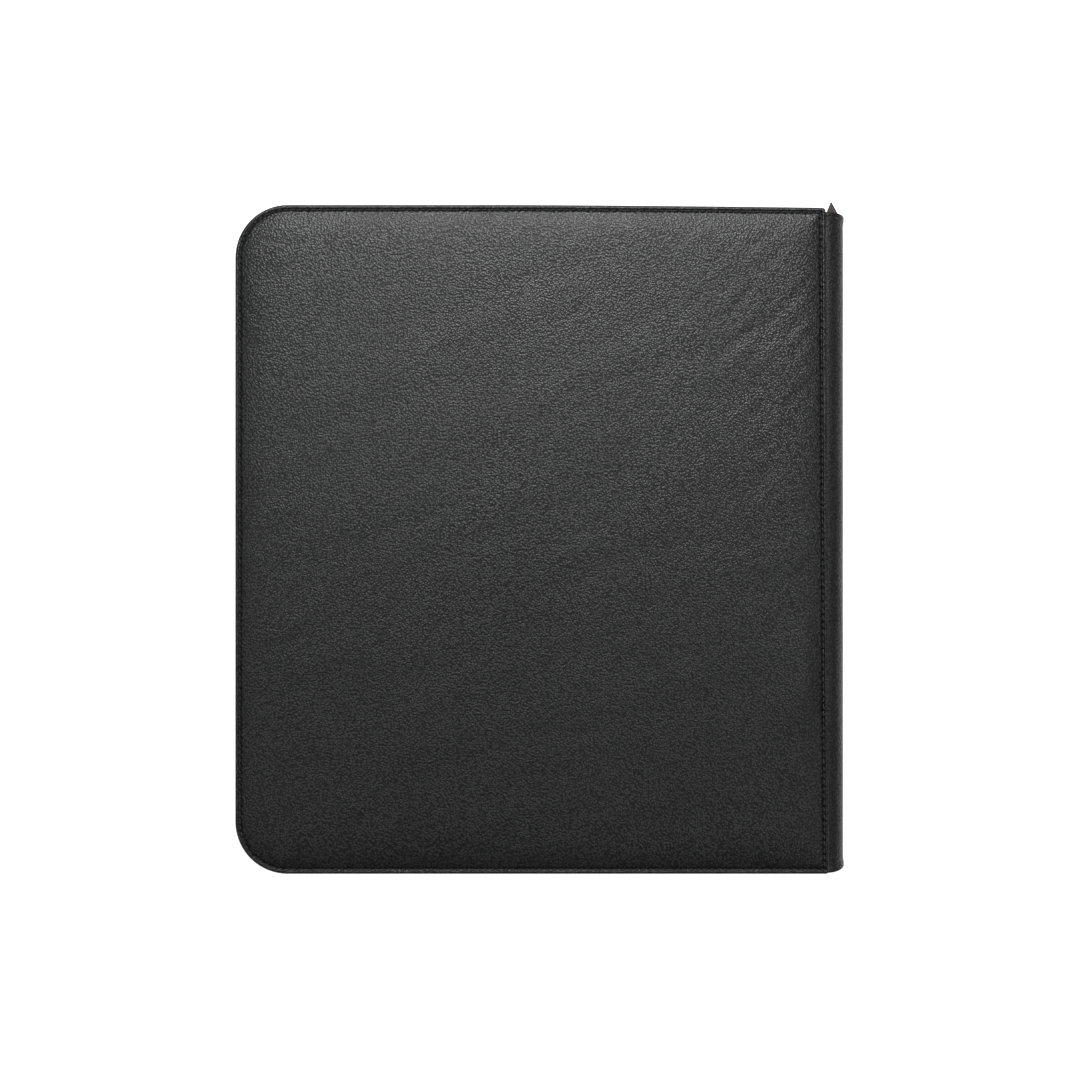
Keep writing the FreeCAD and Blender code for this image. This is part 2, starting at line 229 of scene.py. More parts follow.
def thickened(bm, thickness, facing=None):
    """Gives a surface its thickness, behind the side that faces a direction."""
    outward(bm)
    if facing and sum(f.normal.dot(facing) for f in bm.faces) < 0:
        bmesh.ops.reverse_faces(bm, faces=bm.faces)
    bmesh.ops.solidify(bm, geom=bm.faces[:], thickness=thickness)


def bead(at, size, turn, rings=6):
    """Where a rounded bar goes, such as a stitch: size is its length, width and height."""
    scale = Matrix.Diagonal((size[0] / 2, size[1] / 2, size[2] / 2, 1))
    return Matrix.Translation(at) @ turn @ scale, rings


def heading(direction, slant=0.0):
    """A turn about Z that points X along a direction."""
    return Matrix.Rotation(math.atan2(direction[1], direction[0]) + slant, 4, "Z")


def many_beads(beads):
    """One bmesh of many rounded bars. They are made a few at a time, as a small mesh is quick
    to add to."""
    batch = 20
    whole = bmesh.new()
    for first in range(0, len(beads), batch):
        few = bmesh.new()
        for matrix, rings in beads[first : first + batch]:
            bmesh.ops.create_uvsphere(
                few, u_segments=rings, v_segments=rings, radius=1, matrix=matrix
            )
        joined(whole, few)
    return whole


def joined(whole, part):
    """Adds one bmesh to another and frees it."""
    carrier = bpy.data.meshes.new("carrier")
    part.to_mesh(carrier)
    part.free()
    whole.from_mesh(carrier)
    bpy.data.meshes.remove(carrier)


# ==== the covers' outline ====


def near_lines(low, high, step, fine):
    """Positions across a cover: close together over both rims, and even between them."""
    start, end = low + fine[-1], high - fine[-1]
    count = round((end - start) / step)
    middle = [start + (end - start) * i / count for i in range(1, count)]
    return [low + f for f in fine] + middle + [high - f for f in reversed(fine)]


def corner_shift(a, b, radius):
    """Bends a square corner to a round one. a and b are the distances from its two sides."""
    if a >= radius or b >= radius:
        return a, b
    inset = min(a, b)
    arm = radius - inset
    along = max(a, b) - inset
    angle = math.radians(45) * (1 - along / arm)
    near = radius - arm * math.cos(angle)
    far = radius - arm * math.sin(angle)
    return (near, far) if a <= b else (far, near)


def inset_of(x, y):
    """Distance in from the plain rectangle's nearest side."""
    return min(x - FORE_X, EDGE_X - x, HALF_H - abs(y))


def rounded(x, y):
    """Moves a point of a plain rectangle to the covers' rounded outline."""
    from_fore, from_edge = x - FORE_X, EDGE_X - x
    from_end = HALF_H - abs(y)
    if from_fore < from_edge:
        a, b = corner_shift(from_fore, from_end, FORE_R)
        x = FORE_X + a
    else:
        a, b = corner_shift(from_edge, from_end, EDGE_R)
        x = EDGE_X - a
    return x, math.copysign(HALF_H - b, y)


def settle(x, y):
    """The sewn outline is not quite true: its top bows, and its spine side leans a little."""
    across = (x - FORE_X) / (EDGE_X - FORE_X)
    up = y / HALF_H
    lean = -up * across**3
    bow = (0.7 - 3.8 * max(0.0, across - 0.45) ** 1.5) * max(0.0, up) ** 3
    return x + lean, y + bow


def rim_path(inset, closed):
    """Points round the covers at an inset, with tangents: [(x, y, tx, ty)].
    It runs from the spine's top end by the fore edge to the spine's bottom end."""
    x0, x1 = FORE_X + inset, EDGE_X - inset
    y1 = HALF_H - inset
    r = FORE_R - inset
    runs = [("line", (x1, y1), (x0 + r, y1)), ("arc", (x0 + r, y1 - r), 90)]
    runs += [("line", (x0, y1 - r), (x0, r - y1)), ("arc", (x0 + r, r - y1), 180)]
    runs += [("line", (x0 + r, -y1), (x1, -y1))]
    if closed:
        runs += [("line", (x1, -y1), (x1, y1))]
    points = []
    for kind, first, second in runs:
        if kind == "line":
            length = math.dist(first, second)
            tx, ty = (second[0] - first[0]) / length, (second[1] - first[1]) / length
            for i in range(round(length / PATH_STEP)):
                s = i * PATH_STEP
                points.append((first[0] + tx * s, first[1] + ty * s, tx, ty))
        else:
            count = round(QUARTER * r / PATH_STEP)
            for i in range(count):
                a = math.radians(second + 90 * i / count)
                x, y = first[0] + r * math.cos(a), first[1] + r * math.sin(a)
                points.append((x, y, -math.sin(a), math.cos(a)))
    return points


# ==== materials ====


def make_leatherette(name, tint, patch=1.0, gloss=(0.28, 0.34)):
    """Polyurethane leatherette, embossed with a fine grain and stretched over foam.
    The eye gets a near-black skin with small pebbles drawn out along one diagonal, a soft
    low sheen, and needle-pulled dimples along the seams. Its colour holds painted light: the
    pebbles' tops are painted lighter as a highlight, the creases between them darker as shade."""
    material, tree, shader, place = blank_material(name)
    grain = 1000.0 / 1.1  # pebbles to a metre
    warp = grained(tree, place, 260.0, 2.0, output="Color")
    shifted = add(
        tree,
        "ShaderNodeVectorMath",
        {"operation": "MULTIPLY_ADD"},
        {0: warp, 1: (0.0005, 0.0005, 0.0005), 2: place},
    ).outputs[0]
    cells = add(
        tree,
        "ShaderNodeTexVoronoi",
        {"feature": "SMOOTH_F1"},
        {"Vector": shifted, "Scale": grain, "Smoothness": 0.25},
    ).outputs["Distance"]
    pebbles = ramp(tree, cells, [(0.0, grey(1.0)), (0.25, grey(0.8)), (0.75, grey(0.0))])
    crease = grained(tree, place, grain / 1.5, 3.0, 0.7)
    # drawn creases: long noise along the diagonal, only in patches
    turned = add(
        tree,
        "ShaderNodeMapping",
        {"vector_type": "TEXTURE"},
        {"Vector": place, "Rotation": (0, 0, math.radians(42)), "Scale": (3.0, 1, 1)},
    ).outputs[0]
    drawn = grained(tree, turned, 1000.0 / 2.6, 2.0, 0.6)
    patches = grained(tree, place, 13.0, 1.5)
    patchy = ramp(tree, patches, [(0.48, grey(0.0)), (0.68, grey(1.0))])
    drawn = maths(tree, "MULTIPLY", drawn, patchy)
    height = maths(tree, "MULTIPLY_ADD", crease, 0.25, pebbles)
    height = maths(tree, "MULTIPLY_ADD", drawn, 0.7 * patch, height)
    # seam: dimples between the stitches, from the mesh's own measures
    inset = add(tree, "ShaderNodeAttribute", {"attribute_name": "inset"}).outputs["Fac"]
    along = add(tree, "ShaderNodeAttribute", {"attribute_name": "along"}).outputs["Fac"]
    turns = maths(tree, "MULTIPLY", along, 2 * math.pi * 1000 / STITCH_PITCH)
    wave = maths(tree, "MULTIPLY_ADD", maths(tree, "COSINE", turns), 0.5, 0.5)
    off_row = maths(tree, "SUBTRACT", inset, (STITCH_INSET + 0.25) * MM)
    off_row = maths(tree, "ABSOLUTE", off_row)
    on_row = maths(tree, "SUBTRACT", 1.0, maths(tree, "DIVIDE", off_row, 0.001))
    band = maths(tree, "SMOOTH_MAX", on_row, 0.0)
    dimple = maths(tree, "MULTIPLY", wave, band)
    height = maths(tree, "MULTIPLY_ADD", dimple, -3.5, height)
    relief(tree, shader, height, 1.0, 0.00015)
    # painted light: the pebbles' tops take the lightest tint as a painted highlight, the
    # creases the darkest as painted shade
    coloured(tree, shader, pebbles, (0.0, tint[2]), (0.5, tint[1]), (1.0, tint[0]))
    worn = grained(tree, place, 22.0, 3.0)
    rough = ramp(tree, worn, [(0.3, grey(gloss[0])), (0.7, grey(gloss[1]))])
    dull = maths(tree, "MULTIPLY", maths(tree, "SUBTRACT", 1.0, pebbles), 0.12)
    tree.links.new(maths(tree, "ADD", rough, dull), shader.inputs["Roughness"])
    # the creases between the pebbles are duller than their tops
    sheen = ramp(tree, pebbles, [(0.2, grey(0.38)), (0.55, grey(0.5)), (0.85, grey(0.62))])
    tree.links.new(sheen, shader.inputs["Specular IOR Level"])
    shader.inputs["IOR"].default_value = 1.48
    return material


def make_woven(name, tint, thread_mm, rough=0.85, lift=0.00012):
    """Woven polyester: two thread directions that pass over and under each other.
    The eye gets a fine matt check, a little uneven from thread to thread."""
    material, tree, shader, place = blank_material(name)
    scale = 1000.0 / thread_mm
    parts = add(tree, "ShaderNodeSeparateXYZ", inputs={0: place}).outputs
    # the two broad directions of an upright or a flat cloth both see a weave
    flat = maths(tree, "ADD", parts["X"], maths(tree, "MULTIPLY", parts["Z"], 0.35))
    upright = maths(tree, "ADD", parts["Y"], parts["Z"])
    one = maths(tree, "SINE", maths(tree, "MULTIPLY", flat, scale * math.pi))
    two = maths(tree, "SINE", maths(tree, "MULTIPLY", upright, scale * math.pi))
    weave = maths(tree, "MULTIPLY", one, two)
    fuzz = grained(tree, place, scale * 1.3, 4.0)
    height = maths(tree, "MULTIPLY_ADD", fuzz, 0.8, weave)
    relief(tree, shader, height, 0.8, lift)
    mixed = maths(tree, "MULTIPLY_ADD", height, 0.3, 0.35)
    coloured(tree, shader, mixed, (0.0, tint[0]), (1.0, tint[1]))
    shader.inputs["Roughness"].default_value = rough
    shader.inputs["Sheen Weight"].default_value = 0.15
    return material


def make_thread():
    """Twisted polyester sewing thread, dyed black: small slanting strands with a dull shine.
    The twist's light bands are a painted highlight, much lighter than black thread.
    """
    material, tree, shader, place = blank_material("twisted_sewing_thread")
    twist = add(
        tree,
        "ShaderNodeTexWave",
        {"bands_direction": "DIAGONAL"},
        {"Vector": place, "Scale": 1000.0 / 2.2, "Distortion": 1.5, "Detail": 2.0},
    ).outputs["Fac"]
    relief(tree, shader, twist, 0.6, 0.0001)
    # painted highlight: the twist's light end stands for the stitches' highlight; its dark end
    # is the thread's black
    coloured(tree, shader, twist, (0.0, "101010"), (1.0, "3d3e3e"))
    shader.inputs["Roughness"].default_value = 0.55
    shader.inputs["Sheen Weight"].default_value = 0.2
    return material


def make_nylon():
    """Extruded nylon monofilament, dyed black: a smooth plastic gloss with faint draw lines."""
    material, tree, shader, place = blank_material("extruded_nylon_coil")
    lines = grained(tree, place, 900.0, 3.0)
    coloured(tree, shader, lines, (0.3, "0d0d0e"), (0.8, "232325"))
    glossed(tree, shader, lines, (0.3, 0.28), (0.7, 0.42))
    shader.inputs["IOR"].default_value = 1.53
    return material


def make_enamel():
    """Die-cast zinc with baked black enamel: smooth, with orange-peel ripples and fine rubs
    where the metal starts to show."""
    material, tree, shader, place = blank_material("enamelled_zinc")
    rub = grained(tree, place, 320.0, 5.0)
    mask = ramp(tree, rub, [(0.64, grey(0.0)), (0.72, grey(0.7))])
    base = add(
        tree,
        "ShaderNodeMix",
        {"data_type": "RGBA"},
        {0: mask, 6: srgb("141415"), 7: srgb("5b5a58")},
    )
    tree.links.new(base.outputs[2], shader.inputs["Base Color"])
    glossed(tree, shader, rub, (0.3, 0.24), (0.75, 0.45))
    relief(tree, shader, grained(tree, place, 700.0, 2.0), 0.25, 0.00008)
    shader.inputs["Coat Weight"].default_value = 0.4
    shader.inputs["Coat Roughness"].default_value = 0.15
    return material


def make_black_sheet():
    """Calendered polypropylene, black and finely textured: matt, with long faint streaks."""
    material, tree, shader, place = blank_material("calendered_polypropylene")
    stretched = add(tree, "ShaderNodeMapping", inputs={"Vector": place, "Scale": (1, 0.12, 1)})
    streak = grained(tree, stretched.outputs[0], 240.0, 3.0)
    coloured(tree, shader, streak, (0.3, "161617"), (0.75, "222224"))
    glossed(tree, shader, streak, (0.3, 0.42), (0.7, 0.6))
    relief(tree, shader, grained(tree, place, 1600.0, 2.0), 0.4, 0.00005)
    shader.inputs["IOR"].default_value = 1.49
    return material


def make_clear_film():
    """Cast polypropylene film, clear and slightly milky: it shows what lies under it, with
    broad soft ripples in its reflection."""
    material, tree, shader, place = blank_material("cast_clear_film")
    haze = grained(tree, place, 260.0, 3.0)
    coloured(tree, shader, haze, (0.3, "c9cdd0"), (0.8, "eef0f1"))
    glossed(tree, shader, haze, (0.3, 0.1), (0.7, 0.22))
    relief(tree, shader, grained(tree, place, 45.0, 2.0), 0.35, 0.0008)
    shader.inputs["Alpha"].default_value = 0.1
    shader.inputs["IOR"].default_value = 1.49
    return material


def make_pressed_board():
    """Pressed board, dyed black through: flecked and fibrous, quite matt."""
    material, tree, shader, place = blank_material("pressed_black_board")
    fibre = grained(tree, place, 600.0, 6.0)
    coloured(tree, shader, fibre, (0.25, "141413"), (0.75, "2b2a28"))
    relief(tree, shader, fibre, 0.5, 0.0001)
    shader.inputs["Roughness"].default_value = 0.9
    return material


def make_open_foam():
    """Thin open-cell polyurethane foam, dark grey: small pits all over and no shine."""
    material, tree, shader, place = blank_material("open_cell_foam")
    pits = add(tree, "ShaderNodeTexVoronoi", inputs={"Vector": place, "Scale": 1400.0})
    pits = pits.outputs["Distance"]
    coloured(tree, shader, pits, (0.1, "1d1d1e"), (0.6, "3f3f41"))
    relief(tree, shader, pits, 0.9, 0.0002)
    shader.inputs["Roughness"].default_value = 0.95
    return material


def make_lit_acrylic():
    """Opal acrylic table, lit from below: near white, faintly mottled, almost shadowless."""
    material, tree, shader, place = blank_material("lit_opal_acrylic")
    mottle = grained(tree, place, 220.0, 3.0)
    base = coloured(tree, shader, mottle, (0.2, "f7f7f7"), (0.8, "fbfbfb"))
    tree.links.new(base, shader.inputs["Emission Color"])
    shader.inputs["Emission Strength"].default_value = 0.95
    shader.inputs["Roughness"].default_value = 0.8
    return material


# tints: the pebbles' tops (painted highlight), their middle, the creases between them (painted
# shade)
LEATHERETTE = make_leatherette("embossed_leatherette", ("262726", "131414", "050505"))
# the covers' leatherette again, with darker tints as painted shade on the spine and the folds,
# a duller gloss and fewer creases
SHADED_SPINE_LEATHERETTE = make_leatherette(
    "embossed_leatherette_spine_painted_shade", ("141313", "0e0e0e", "080808"), patch=0.4, gloss=(0.42, 0.5)
)
LINING_CLOTH = make_woven("plain_woven_lining", ("0d0d0e", "242426"), 0.7)
TAPE_CLOTH = make_woven("woven_zip_tape", ("0b0b0b", "202021"), 0.9, rough=0.75)
TIP_CLOTH = make_woven("folded_tape_end", ("2c2625", "574e4b"), 0.6, rough=0.8, lift=0.00006)
BINDING_CLOTH = make_woven("book_cloth_binding", ("0c0c0d", "232324"), 1.1)
THREAD = make_thread()
NYLON = make_nylon()
ENAMEL = make_enamel()
BLACK_SHEET = make_black_sheet()
CLEAR_FILM = make_clear_film()
BOARD = make_pressed_board()
FOAM = make_open_foam()
FLOOR_ACRYLIC = make_lit_acrylic()


# ==== the padded covers ====

RIM_STEPS = [0, 0.35, 0.8, 1.3, 1.7, 2.0, 2.25, 2.5, 2.8, 3.15, 3.6, 4.2, 5.0, 6.0, 7.2]
RIM_STEPS += [8.6, 10.2, 12.0]
COVER_STEP = 1.7
CROWN = {"back": 0.5, "front": 0.0}
CROWN_X, CROWN_Y = 172, 190  # where the crown comes down to nothing
SOFTNESS = {"back": 1.0, "front": 0.35}  # share of the wrinkles
# the turn-in below the lip: how far out of the outline each ring stands, and how far down
TURN_IN = [(0.22, 2.1), (0.34, 2.9), (0.34, 3.6), (0.15, 4.3), (-0.7, 4.7), (-3.0, 4.75)]
TURN_IN += [(-5.4, 4.7)]


def drape(x, y):
    """Height of the soft wrinkles in the leatherette, drawn out along one diagonal."""
    a, b = math.radians(48), math.radians(20)  # headings of the fine and the broad ones
    along = x * math.cos(a) + y * math.sin(a)
    across = -x * math.sin(a) + y * math.cos(a)
    fine = noise.noise(Vector((along / 26, across / 5.5, 3.1)))
    along = x * math.cos(b) + y * math.sin(b)
    across = -x * math.sin(b) + y * math.cos(b)
    broad = noise.noise(Vector((along / 60, across / 17, 8.7)))
    # where the wrinkles are strongest, and one swelling beside the spine
    top_corner = math.exp(-(((x - 125) / 42) ** 2) - ((y - 125) / 60) ** 2)
    fore_patch = 0.7 * math.exp(-(((x + 140) / 26) ** 2) - ((y + 25) / 34) ** 2)
    swell = 0.9 * math.exp(-(((x - 146) / 13) ** 2) - ((y + 78) / 26) ** 2)
    return 0.20 * fine * (0.22 + top_corner + fore_patch) + 0.16 * broad + swell


# depth of the shoulder beside the seam, its reach, and how far the pad swells past the frame
SHOULDER = {"back": (1.9, 6.8, 0.9), "front": (1.5, 3.2, 0.0)}


def pad_depth(inset, side):
    """How far the leatherette lies below the cover's face at an inset from its outline."""
    deep, reach, swell = SHOULDER[side]
    rolled = 0.3 * max(0.0, 1 - inset / 1.9) ** 2 + 0.7 * max(0.0, 1 - inset / 0.35) ** 2
    lip = 0.6 + rolled
    shoulder = deep * math.exp(-max(0.0, inset - STITCH_INSET) / reach) - swell
    groove = 0.5 * math.exp(-(((inset - STITCH_INSET) / 0.55) ** 2))
    blend = min(1.0, max(0.0, (inset - 1.6) / 1.4))
    return lip * (1 - blend) + shoulder * blend + groove


def padded_cover(side):
    """One cover's leatherette: a crowned pad, pulled down along the stitch row to a rolled
    lip, and turned in below it."""
    xs = near_lines(FORE_X, EDGE_X, COVER_STEP, RIM_STEPS)
    ys = near_lines(-HALF_H, HALF_H, COVER_STEP, RIM_STEPS)

    def place(i, j):
        x, y = xs[i], ys[j]
        inset = inset_of(x, y)
        dome = math.cos(x / CROWN_X * QUARTER) * math.cos(y / CROWN_Y * QUARTER) * CROWN[side]
        calm = min(1.0, max(0.0, (inset - 3.0) / 9.0))
        wrinkle = SOFTNESS[side] * drape(x, y) * calm
        z = THICK - pad_depth(inset, side) + dome + wrinkle
        if side == "front":
            z = min(z, THICK)
        px, py = settle(*rounded(x, y))
        return Vector((px, py, z))

    bm = mapped_grid(len(xs) - 1, len(ys) - 1, place)
    inset_layer = bm.verts.layers.float.new("inset")
    along_layer = bm.verts.layers.float.new("along")
    for index, vert in enumerate(bm.verts):
        j, i = divmod(index, len(xs))
        x, y = xs[i], ys[j]
        vert[inset_layer] = inset_of(x, y) * MM
        upright = min(x - FORE_X, EDGE_X - x) < HALF_H - abs(y)
        vert[along_layer] = (y if upright else x) * MM
    edge = [e for e in bm.edges if e.is_boundary]
    for grow, z in TURN_IN:
        new = bmesh.ops.extrude_edge_only(bm, edges=edge)["geom"]
        edge = [g for g in new if isinstance(g, bmesh.types.BMEdge)]
        ring = {v for e in edge for v in e.verts}
        for vert in ring:
            source = vert[inset_layer]
            x, y = vert.co.x, vert.co.y
            centre = Vector((min(max(x, FORE_X + FORE_R), EDGE_X - EDGE_R), 0))
            limit = HALF_H - (FORE_R if x < FORE_X + FORE_R else EDGE_R)
            centre.y = min(max(y, -limit), limit)
            away = Vector((x, y)) - centre
            if x < FORE_X + FORE_R and abs(y) < limit:
                away = Vector((-1, 0))
            elif x > EDGE_X - EDGE_R - 1.5 and abs(y) < limit:
                away = Vector((1, 0))
            elif abs(away.x) < 1e-6:
                away = Vector((0, math.copysign(1, y)))
            away.normalize()
            vert.co.x += away.x * (grow + source / MM)
            vert.co.y += away.y * (grow + source / MM)
            vert.co.z = THICK - z
            vert[inset_layer] = -grow * MM
    bmesh.ops.contextual_create(bm, geom=edge)
    for_side(bm, side)
    made = mesh_object(side + "_cover_leatherette", bm, side + "_cover", LEATHERETTE)
    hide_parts(side + "_cover_skin")


def stitch_row(side):
    """The sewing round one cover, a thread bar in each dimple of the seam."""
    beads = []
    path = rim_path(STITCH_INSET, closed=True)
    step = round(STITCH_PITCH / PATH_STEP)
    z = THICK - pad_depth(STITCH_INSET, side) + 0.16
    for n, k in enumerate(range(step // 2, len(path), step)):
        x, y, tx, ty = path[k]
        px, py = settle(x, y)
        drop = 0.05 * noise.noise(Vector((n * 0.7, 0, 0)))
        turn = heading((tx, ty), math.radians(7))
        beads.append(bead(Vector((px, py, z + drop)), (2.75, 0.62, 0.55), turn))
    bm = for_side(many_beads(beads), side)
    made = mesh_object(side + "_cover_sewing", bm, side + "_cover", THREAD)
    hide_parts(side + "_cover_stitching")


for side in ("front", "back"):
    padded_cover(side)
    stitch_row(side)


# ==== the folds and the spine ====


def spine_end(angle, end):
    """How far the spine's leatherette runs to either end; it draws in over each fold."""
    drawn_in = 1 - math.cos(angle)
    return 180.0 - 2.9 * drawn_in if end > 0 else 182.6 - 3.8 * drawn_in


def hem_lift(distance):
    """The turned-in hem stands a little proud beside the end of the spine, and its stitches
    pull a groove in it."""
    groove = 0.25 * math.exp(-(((distance - HEM_INSET) / 0.5) ** 2))
    return 0.45 * math.exp(-((distance / 3.2) ** 4)) - groove


END_STEPS = [0, 0.4, 1.0, 1.6, 2.1, 2.5, 2.9, 3.3, 3.8, 4.5, 6.0]


def strip_rows(angle):
    """Positions along Y, close together over both hems."""
    return near_lines(-spine_end(angle, -1), spine_end(angle, 1), 3.0, END_STEPS)


def fold_surface(angle, y_flat, lift):
    """A point on the back fold: angle 0 at the cover's edge, 90 degrees at the spine."""
    end = math.copysign(1, y_flat)
    half = spine_end(angle, end)
    y = y_flat * half / spine_end(0.0, end)
    r = FOLD_R + lift + hem_lift(half - abs(y))
    r += 0.22 * noise.noise(Vector((angle * 1.1, y / 34, 1.7))) * math.sin(2 * angle)
    return Vector((EDGE_X + r * math.sin(angle), y, FOLD_Z + r * math.cos(angle)))


def follow_fold(made):
    """Bakes a piece's transform into its mesh."""
    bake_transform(made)


def leather_fold(side):
    """The soft fold of leatherette between a cover and the spine."""
    rows = strip_rows(0.0)

    def place(i, j):
        past = i - TUCKED_FACES
        if past < 0:  # runs in below the cover's lip
            spot = fold_surface(0.0, rows[j], 0.0)
            return spot + Vector((1.1 * past, 0, 0.28 * past))
        return fold_surface(QUARTER * past / FOLD_FACES, rows[j], 0.0)

    bm = mapped_grid(FOLD_FACES + TUCKED_FACES, len(rows) - 1, place)
    thickened(bm, LEATHER, facing=Vector((1, 0, 1)))
    for_side(bm, side)
    made = mesh_object(side + "_fold_leatherette", bm, None, SHADED_SPINE_LEATHERETTE)
    follow_fold(made)
    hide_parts(side + "_hinge_fold")


def spine_cover():
    """The spine's leatherette over its board, between the two folds."""
    rows = strip_rows(QUARTER)
    faces = 12
    z0, z1 = THICK - FOLD_Z, FOLD_Z

    def place(i, j):
        t = i / faces
        y = rows[j]
        bulge = 0.35 * math.sin(math.pi * t) ** 2
        from_end = spine_end(QUARTER, math.copysign(1, y)) - abs(y)
        x = EDGE_X + FOLD_R + hem_lift(from_end) + bulge
        return Vector((x, y, z0 + (z1 - z0) * t))

    bm = mapped_grid(faces, len(rows) - 1, place)
    thickened(bm, LEATHER, facing=Vector((1, 0, 0)))
    made = mesh_object("spine_leatherette", outward(bm), "spine", SHADED_SPINE_LEATHERETTE)
    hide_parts("spine_skin")


def hem_sewing():
    """Stitches across both ends of the spine and of each fold."""
    on_spine, on_fold = 5, 4
    groups = {"spine": [], "front": [], "back": []}
    for end in (-1, 1):
        half = spine_end(QUARTER, end)
        for n in range(on_spine):
            z = THICK - FOLD_Z + (n + 0.5) * (2 * FOLD_Z - THICK) / on_spine
            spot = Vector((EDGE_X + FOLD_R + 0.3, end * (half - HEM_INSET), z))
            groups["spine"].append(bead(spot, (0.5, 0.6, 2.7), Matrix.Identity(4)))
        for side in ("front", "back"):
            for n in range(on_fold):
                angle = QUARTER * (n + 0.5) / on_fold
                spot = fold_surface(angle, end * (spine_end(0.0, end) - HEM_INSET), 0.1)
                if side == "front":
                    spot.z = THICK - spot.z
                    angle = -angle
                turn = Matrix.Rotation(angle, 4, "Y")
                groups[side].append(bead(spot, (2.7, 0.6, 0.5), turn))
    bm = outward(many_beads(groups["spine"]))
    made = mesh_object("spine_hem_sewing", bm, "spine", THREAD)
    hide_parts("spine_stitching")
    for side in ("front", "back"):
        bm = outward(many_beads(groups[side]))
        made = mesh_object(side + "_fold_hem_sewing", bm, None, THREAD)
        follow_fold(made)


leather_fold("front")
leather_fold("back")
spine_cover()
hem_sewing()


# ==== the zip ====


def zip_tape(side):
    """One woven tape: sewn under the cover's rim, bent up, and running to the coil."""
    path = [p for p in rim_path(ZIP_INSET, closed=False) if p[0] < TAPE_HIGH.x]
    stations = path[::6] + [path[-1]]
    low = COIL_HIGH.z  # where the coil starts
    sewn = 3.4  # width of the strip below the rim
    # how far out of the zip's path each row lies, negative for inwards, and its height
    profile = [(-sewn, SEAM_Z - 0.25), (-2.2, SEAM_Z - 0.3), (-1.0, SEAM_Z - 0.5)]
    profile += [(-0.25, SEAM_Z - 1.3)]
    bent = len(profile)
    levels = 7
    top = SEAM_Z - 2.5
    for k in range(levels + 1):
        profile.append((0.0, top + (low - 0.9 - top) * k / levels))

    def place(i, j):
        x, y, tx, ty = stations[j]
        shift, z = profile[i]
        bulge = 0.0
        if i >= bent:
            t = (i - bent) / levels
            bulge = 0.3 * noise.noise(Vector((x / 24, y / 24, t * 1.5 + 4)))
            bulge += 0.55 * math.sin(math.pi * t)
        out = -shift + bulge
        return Vector((x + ty * out, y - tx * out, z))

    bm = mapped_grid(len(profile) - 1, len(stations) - 1, place)
    thickened(bm, 0.6)
    for_side(bm, side)
    made = mesh_object(side + "_zip_webbing", bm, side + "_cover", TAPE_CLOTH)
    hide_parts(side + "_zip_tape")


def zip_teeth(side):
    """The coil: a row of rounded nylon loops that reach past the middle between the other's."""
    path = rim_path(ZIP_INSET, closed=False)
    step = round(TOOTH_PITCH / PATH_STEP)
    phase = 0 if side == "back" else step // 2
    end = COIL_HIGH.x if side == "front" else millimetres("back_zip_stops")[0].x
    beads = []
    for k in range(phase, len(path), step):
        x, y, tx, ty = path[k]
        limit = end if y > 0 else COIL_HIGH.x
        if x > limit:
            continue
        turn = heading((tx, ty))
        beads.append(bead(Vector((x, y, MID_Z + 0.75)), (0.92, 2.24, 2.6), turn))
        beads.append(bead(Vector((x, y, MID_Z - 0.2)), (1.24, 1.0, 1.0), turn, rings=4))
    bm = for_side(many_beads(beads), side)
    made = mesh_object(side + "_zip_teeth", bm, side + "_cover", NYLON)
    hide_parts(side + "_zip_coil")


for side in ("front", "back"):
    zip_tape(side)
    zip_teeth(side)


def folded_tape_end(end):
    """The zip tape's end, folded to a soft block and sewn in behind the spine's end."""
    node = "zip_end_tab_top" if end > 0 else "zip_end_tab_bottom"
    low, high = millimetres(node)
    middle, half_width = (low.x + high.x) / 2, (high.x - low.x) / 2
    y0, y1 = 168.0, 180.6
    round_faces, long_faces = 16, 8
    squareness = 0.55

    def place(i, j):
        t, s = i / round_faces, j / long_faces
        turn = 2 * math.pi * t
        cx, cz = math.cos(turn), math.sin(turn)
        px = math.copysign(abs(cx) ** squareness, cx)
        pz = math.copysign(abs(cz) ** squareness, cz)
        pinch = 1 - 0.25 * s**3
        x = middle + px * half_width * pinch
        z = MID_Z + pz * 9.6 * (1 - 0.1 * s) + 0.5 * math.sin(6 * s + 2 * cx)
        return Vector((x, end * (y0 + (y1 - y0) * s), z))

    bm = mapped_grid(round_faces, long_faces, place)
    bmesh.ops.remove_doubles(bm, verts=bm.verts, dist=0.001)
    bmesh.ops.holes_fill(bm, edges=[e for e in bm.edges if e.is_boundary])
    made = mesh_object(node + "_cloth", outward(bm), "spine", TAPE_CLOTH)
    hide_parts(node)


def folded_point():
    """The taupe point of the folded tape, standing out past the spine's top end."""
    base_y, tip_x, tip_y = 178.0, 161.6, 188.6
    # the base's corners, as (x, height): right, ridge, left and back
    corners = [(166.6, 1.0), (160.2, 4.0), (157.2, 1.0), (162.0, -3.2)]
    bm = bmesh.new()
    bmesh.ops.create_cone(bm, cap_ends=True, segments=4, radius1=1, radius2=0, depth=1)
    for vert in bm.verts:
        if vert.co.z > 0:
            vert.co = (tip_x, tip_y, MID_Z + 1.0)
        else:
            corner = round(math.atan2(vert.co.y, vert.co.x) / QUARTER) % 4
            vert.co = (corners[corner][0], base_y, MID_Z + corners[corner][1])
    outward(bm)
    round_off(bm, bm.edges[:], 0.35, 3)
    bmesh.ops.triangulate(bm, faces=bm.faces[:])
    bmesh.ops.subdivide_edges(bm, edges=bm.edges[:], cuts=2, use_grid_fill=True)
    for vert in bm.verts:
        share = min(1.0, max(0.0, (vert.co.y - base_y) / 12.4))
        vert.co.x += max(0.0, vert.co.x - tip_x) * 0.7 * share * (1 - share)
        vert.co.z += 0.12 * noise.noise(vert.co / 2.0)
    made = mesh_object("zip_tape_folded_point", outward(bm), "spine", TIP_CLOTH)


folded_tape_end(1)
folded_tape_end(-1)
folded_point()


# ==== the leaves ====

